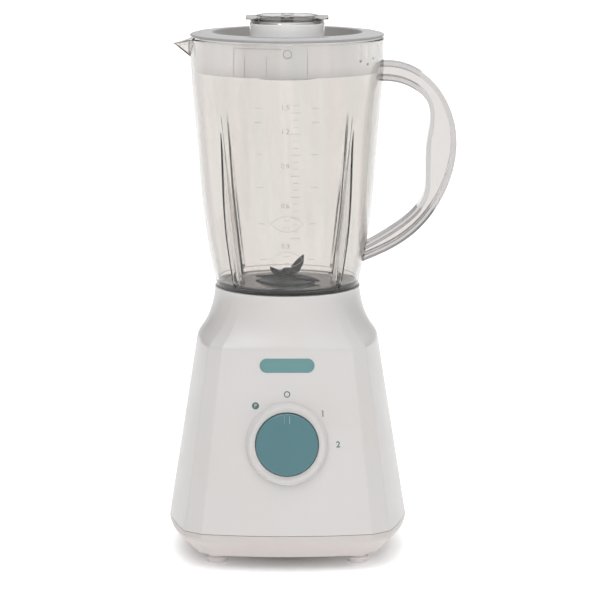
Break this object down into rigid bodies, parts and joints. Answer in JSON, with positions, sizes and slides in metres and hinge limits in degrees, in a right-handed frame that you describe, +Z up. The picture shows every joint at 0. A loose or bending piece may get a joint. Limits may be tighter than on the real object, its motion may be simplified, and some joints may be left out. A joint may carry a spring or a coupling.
{
  "type": "countertop blender",
  "caption": "Countertop blender: tapered motor base with a rotary speed knob, clear jug with handle and pouring lip, lid, measuring cap and cross blades on a dog coupling.",
  "frame": {"origin": "on the table, under the drive axis of the motor and blades", "axes": "+Z up along the drive axis; -Y is the front, with the knob; +X is the handle's side and -X the spout's"},
  "size_m": [0.2138, 0.1746, 0.4007],
  "materials": {
    "white_plastic": "satin",
    "white_plastic_base": "satin",
    "teal_badge": "satin",
    "zinc_steel": "zinc plated",
    "grey_rubber": "matte",
    "switch_plastic": "matte",
    "lamination_iron": "varnished",
    "copper_wire": "enamelled",
    "cast_bracket": "as cast",
    "bronze": "sintered",
    "black_rubber": "matte",
    "brown_plastic": "matte",
    "carbon": "matte",
    "spring_steel": "drawn",
    "foot_rubber": "matte",
    "teal_knob": "satin",
    "ground_steel": "ground",
    "commutator_copper": "turned",
    "black_plastic": "matte",
    "clear_plastic": "polished",
    "clear_handle": "polished",
    "holder_plastic": "matte",
    "blade_steel": "brushed",
    "lid_plastic": "satin",
    "cap_plastic": "polished"
  },
  "bodies": {
    "base": {"housing": "white_plastic", "neck": "white_plastic", "well_cup": "white_plastic", "base_plate": "white_plastic_base", "badge_plate": "teal_badge", "base_screws": "zinc_steel", "cord_gland": "grey_rubber", "terminal_block": "switch_plastic", "rotary_switch": "switch_plastic", "switch_screws": "zinc_steel", "field_stack": "lamination_iron", "field_coils": "copper_wire", "lower_bracket": "cast_bracket", "upper_bracket": "cast_bracket", "motor_bushes": "bronze", "through_bolts": "zinc_steel", "motor_mounts": "black_rubber", "motor_screws": "zinc_steel", "brush_holders": "brown_plastic", "carbon_brushes": "carbon", "brush_springs": "spring_steel", "shaft_seal": "black_rubber", "foot_front_left": "foot_rubber", "foot_rear_left": "foot_rubber", "foot_front_right": "foot_rubber", "foot_rear_right": "foot_rubber"},
    "knob": {"speed_knob": "teal_knob", "switch_shaft": "switch_plastic"},
    "rotor": {"motor_shaft": "ground_steel", "armature_core": "lamination_iron", "armature_windings": "copper_wire", "commutator": "commutator_copper", "cooling_fan": "black_plastic", "drive_coupling": "black_plastic"},
    "jug": {"jug": "clear_plastic", "jug_handle": "clear_handle", "blade_holder": "holder_plastic", "holder_seal": "black_rubber", "holder_nut": "black_plastic", "blade_bushes": "bronze"},
    "blades": {"blade_shaft": "ground_steel", "blade_washer": "ground_steel", "jug_coupling": "black_plastic", "blade_nut": "blade_steel", "lower_blade": "blade_steel", "upper_blade": "blade_steel"},
    "lid": {"lid": "lid_plastic"},
    "cap": {"measuring_cap": "cap_plastic"}
  },
  "joints": [
    {"name": "knob_turn", "type": "hinge", "parent": "base", "child": "knob", "pos_m": [0, -0.07452, 0.0952], "axis": [0, 0.9859, -0.1671], "range_deg": [-40, 90]},
    {"name": "motor_spin", "type": "hinge", "parent": "base", "child": "rotor", "pos_m": [0, 0, 0], "axis": [0, 0, 1], "continuous": true},
    {"name": "jug_lift", "type": "slide", "parent": "base", "child": "jug", "axis": [0, 0, 1], "range_m": [0, 0.06]},
    {"name": "blade_spin", "type": "hinge", "parent": "jug", "child": "blades", "pos_m": [0, 0, 0], "axis": [0, 0, 1], "continuous": true},
    {"name": "lid_lift", "type": "slide", "parent": "jug", "child": "lid", "axis": [0, 0, 1], "range_m": [0, 0.06]},
    {"name": "cap_lift", "type": "slide", "parent": "lid", "child": "cap", "axis": [0, 0, 1], "range_m": [0, 0.06]}
  ],
  "couplings": [
    {"joint": "blade_spin", "follows": "motor_spin", "ratio": 1}
  ]
}
